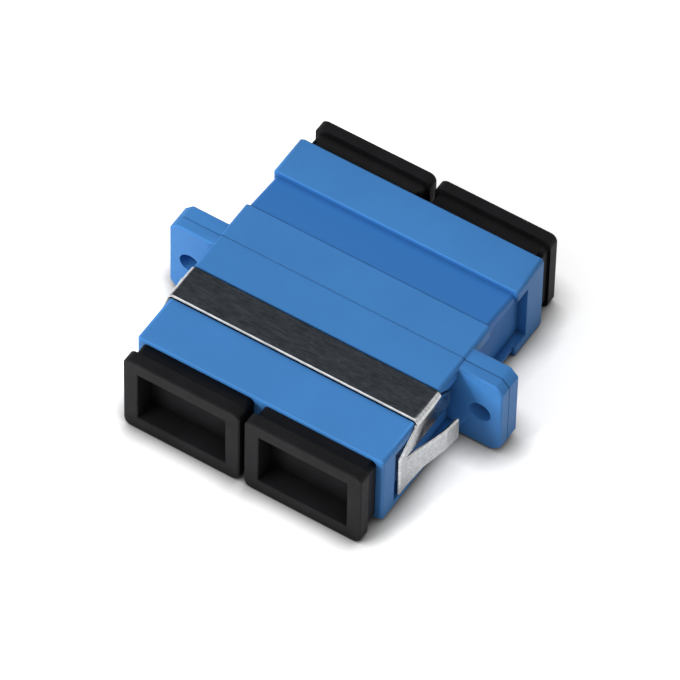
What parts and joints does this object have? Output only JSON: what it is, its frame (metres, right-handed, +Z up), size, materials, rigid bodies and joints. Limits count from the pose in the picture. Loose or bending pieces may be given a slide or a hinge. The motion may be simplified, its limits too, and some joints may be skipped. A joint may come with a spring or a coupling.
{
  "type": "fibre optic adapter",
  "caption": "Duplex adapter that joins fibre plugs end to end, with a slim box housing, screw flange ears, a sprung panel clip and pull-off dust caps.",
  "frame": {"origin": "on the seam between the two housing halves, at mid width and mid height, which is the centre of the bounding box", "axes": "+X across the two ports, +Y along the fibres towards the plain rear end, +Z up towards the clip's strip"},
  "size_m": [0.035, 0.0326, 0.0094],
  "materials": {
    "blue_plastic": "moulded, satin gloss",
    "clip_steel": "spring steel strip, finely brushed",
    "cap_plastic": "soft moulded plastic, near matte",
    "insert_plastic": "moulded, matte",
    "sleeve_ceramic": "polished white ceramic"
  },
  "bodies": {
    "adapter": {"front_housing": "blue_plastic", "rear_housing": "blue_plastic", "panel_clip": "clip_steel", "latch_insert_front_left": "insert_plastic", "latch_insert_front_right": "insert_plastic", "latch_insert_rear_left": "insert_plastic", "latch_insert_rear_right": "insert_plastic", "split_sleeve_left": "sleeve_ceramic", "split_sleeve_right": "sleeve_ceramic"},
    "cap_front_left": {"dust_cap_front_left": "cap_plastic"},
    "cap_front_right": {"dust_cap_front_right": "cap_plastic"},
    "cap_rear_left": {"dust_cap_rear_left": "cap_plastic"},
    "cap_rear_right": {"dust_cap_rear_right": "cap_plastic"}
  },
  "joints": [
    {"name": "cap_front_left_pull", "type": "slide", "parent": "adapter", "child": "cap_front_left", "axis": [0, -1, 0], "range_m": [0, 0.015]},
    {"name": "cap_front_right_pull", "type": "slide", "parent": "adapter", "child": "cap_front_right", "axis": [0, -1, 0], "range_m": [0, 0.015]},
    {"name": "cap_rear_left_pull", "type": "slide", "parent": "adapter", "child": "cap_rear_left", "axis": [0, 1, 0], "range_m": [0, 0.015]},
    {"name": "cap_rear_right_pull", "type": "slide", "parent": "adapter", "child": "cap_rear_right", "axis": [0, 1, 0], "range_m": [0, 0.015]}
  ]
}
